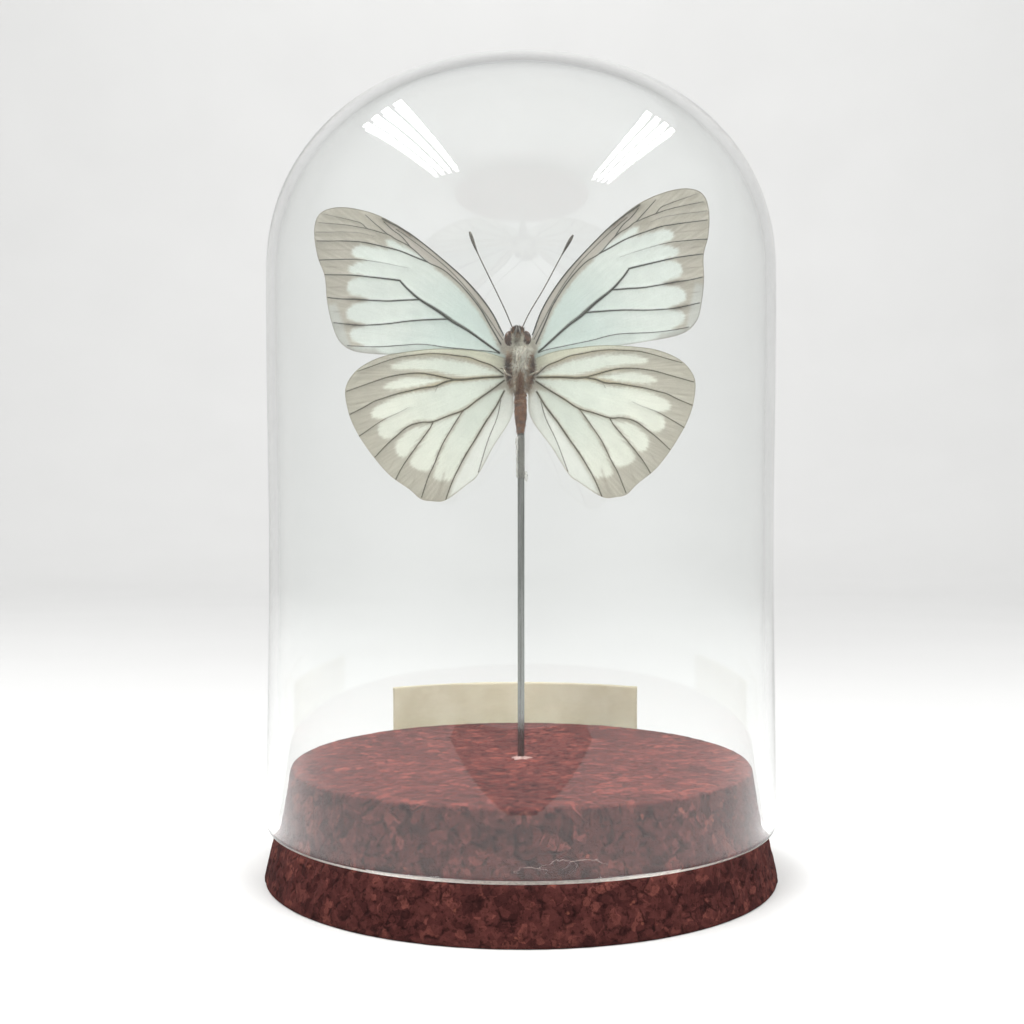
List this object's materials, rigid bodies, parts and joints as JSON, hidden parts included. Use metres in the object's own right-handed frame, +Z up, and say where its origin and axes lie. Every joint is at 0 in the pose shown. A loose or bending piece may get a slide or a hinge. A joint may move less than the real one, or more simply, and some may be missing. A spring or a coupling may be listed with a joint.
{
  "type": "insect in glass dome",
  "caption": "Spread white butterfly on a thin steel rod under a clear glass dome that sits on a tapered red cork foot, with a bare paper slip behind the glass.",
  "frame": {"origin": "centre of the cork foot's underside", "axes": "+Z up along the rod, -Y towards the side that shows the specimen's underside, +X to the viewer's right"},
  "size_m": [0.0906, 0.0908, 0.144],
  "materials": {
    "glass": "clear blown glass, polished, slightly wavy",
    "cork": "red-dyed agglomerated cork, matt, pitted between its granules",
    "paper": "aged cream paper, matt, with faint fibres",
    "steel": "polished rod",
    "dried_glue": "dried glue, cloudy to white",
    "wing": "thin scaled membrane, pale blue-white with grey-beige borders and dark veins",
    "fur": "fine grey and white hairs",
    "abdomen": "dried brown skin in rings",
    "eye": "dark, faceted, softly shiny",
    "antenna": "dark, ringed, with a club at the tip"
  },
  "bodies": {
    "root": {"glass_dome": "glass", "cork_base": "cork", "label": "paper", "pin": "steel", "glue": "dried_glue", "glue_foot": "dried_glue", "thorax": "fur", "head": "fur", "abdomen": "abdomen", "eye_left": "eye", "eye_right": "eye", "antenna_left": "antenna", "antenna_right": "antenna", "forewing_left": "wing", "forewing_right": "wing", "hindwing_left": "wing", "hindwing_right": "wing"}
  },
  "joints": []
}
